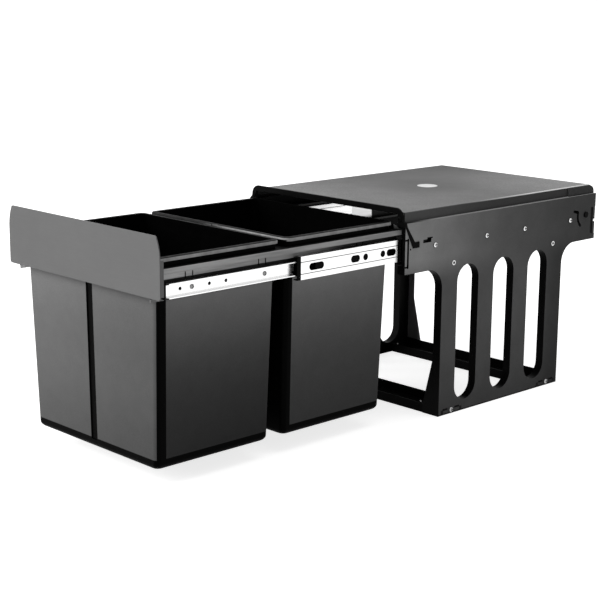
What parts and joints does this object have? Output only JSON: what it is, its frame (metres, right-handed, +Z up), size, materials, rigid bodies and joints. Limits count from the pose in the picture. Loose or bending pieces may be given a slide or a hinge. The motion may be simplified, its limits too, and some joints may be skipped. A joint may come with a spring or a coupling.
{
  "type": "pull-out waste bin unit",
  "caption": "Pull-out waste bin unit for a kitchen base cabinet: tapered bins hang in a carrier on telescopic ball slides inside a slotted sheet frame with a hinged lid.",
  "frame": {"origin": "cabinet floor, in the middle of the floor-fixing holes", "axes": "+X to the right seen from the front, +Y from the front to the back, +Z up"},
  "size_m": [0.3464, 0.9433, 0.3516],
  "materials": {
    "frame_paint": "satin charcoal paint",
    "lid_paint": "fine-textured grey paint",
    "badge_grey": "bare satin disc",
    "plate_paint": "satin grey paint",
    "carrier_grey": "satin moulded",
    "bin_plastic": "semi-gloss moulded",
    "black_plastic": "moulded black",
    "zinc_steel": "bright zinc plate",
    "ball_steel": "polished",
    "bright_screw": "bright plated"
  },
  "bodies": {
    "frame": {"side_panel_left": "frame_paint", "side_panel_right": "frame_paint", "base_crossbar_front": "frame_paint", "base_crossbar_rear": "frame_paint", "crossbar_screws": "bright_screw", "rail_screws": "bright_screw", "edge_screws": "bright_screw", "rail_spacers": "black_plastic", "side_eyelets": "bright_screw", "front_arch": "black_plastic", "arch_screws": "black_plastic", "outer_rail_left": "zinc_steel", "outer_rail_right": "zinc_steel", "lid_pivot_pins": "black_plastic", "pivot_washers": "black_plastic"},
    "lid": {"lid_panel": "lid_paint", "lid_badge": "badge_grey", "lid_arm_left": "frame_paint", "lid_arm_right": "frame_paint", "lid_arm_rivets": "frame_paint", "lid_stop_pins": "black_plastic"},
    "carrier": {"carrier_frame": "carrier_grey", "inner_rail_left": "zinc_steel", "inner_rail_right": "zinc_steel", "inner_rail_screws": "bright_screw", "front_plate": "plate_paint", "plate_nuts": "bright_screw"},
    "bin_front": {"bin_front": "bin_plastic", "rim_front": "bin_plastic"},
    "bin_rear": {"bin_rear": "bin_plastic", "rim_rear": "bin_plastic"},
    "mid_slide_left": {"mid_rail_left": "zinc_steel", "mid_bumper_left": "black_plastic"},
    "outer_cage_left": {"ball_cage_outer_left": "zinc_steel", "balls_outer_left": "ball_steel"},
    "inner_cage_left": {"ball_cage_inner_left": "zinc_steel", "balls_inner_left": "ball_steel"},
    "mid_slide_right": {"mid_rail_right": "zinc_steel", "mid_bumper_right": "black_plastic"},
    "outer_cage_right": {"ball_cage_outer_right": "zinc_steel", "balls_outer_right": "ball_steel"},
    "inner_cage_right": {"ball_cage_inner_right": "zinc_steel", "balls_inner_right": "ball_steel"}
  },
  "joints": [
    {"name": "carrier_slide", "type": "slide", "parent": "frame", "child": "carrier", "axis": [0, 1, 0], "range_m": [0, 0.447]},
    {"name": "lid_hinge", "type": "hinge", "parent": "frame", "child": "lid", "pos_m": [0, 0.2137, 0.2817], "axis": [-1, 0, 0], "range_deg": [0, 67]},
    {"name": "bin_front_lift", "type": "slide", "parent": "carrier", "child": "bin_front", "axis": [0, 0, 1], "range_m": [0, 0.7]},
    {"name": "bin_rear_lift", "type": "slide", "parent": "carrier", "child": "bin_rear", "axis": [0, 0, 1], "range_m": [0, 0.7]},
    {"name": "mid_slide_left_run", "type": "slide", "parent": "frame", "child": "mid_slide_left", "axis": [0, 1, 0], "range_m": [0, 0.2235]},
    {"name": "outer_cage_left_run", "type": "slide", "parent": "frame", "child": "outer_cage_left", "axis": [0, 1, 0], "range_m": [0, 0.11175]},
    {"name": "inner_cage_left_run", "type": "slide", "parent": "frame", "child": "inner_cage_left", "axis": [0, 1, 0], "range_m": [0, 0.33525]},
    {"name": "mid_slide_right_run", "type": "slide", "parent": "frame", "child": "mid_slide_right", "axis": [0, 1, 0], "range_m": [0, 0.2235]},
    {"name": "outer_cage_right_run", "type": "slide", "parent": "frame", "child": "outer_cage_right", "axis": [0, 1, 0], "range_m": [0, 0.11175]},
    {"name": "inner_cage_right_run", "type": "slide", "parent": "frame", "child": "inner_cage_right", "axis": [0, 1, 0], "range_m": [0, 0.33525]}
  ],
  "couplings": [
    {"joint": "mid_slide_left_run", "follows": "carrier_slide", "ratio": 0.5},
    {"joint": "outer_cage_left_run", "follows": "carrier_slide", "ratio": 0.25},
    {"joint": "inner_cage_left_run", "follows": "carrier_slide", "ratio": 0.75},
    {"joint": "mid_slide_right_run", "follows": "carrier_slide", "ratio": 0.5},
    {"joint": "outer_cage_right_run", "follows": "carrier_slide", "ratio": 0.25},
    {"joint": "inner_cage_right_run", "follows": "carrier_slide", "ratio": 0.75}
  ]
}
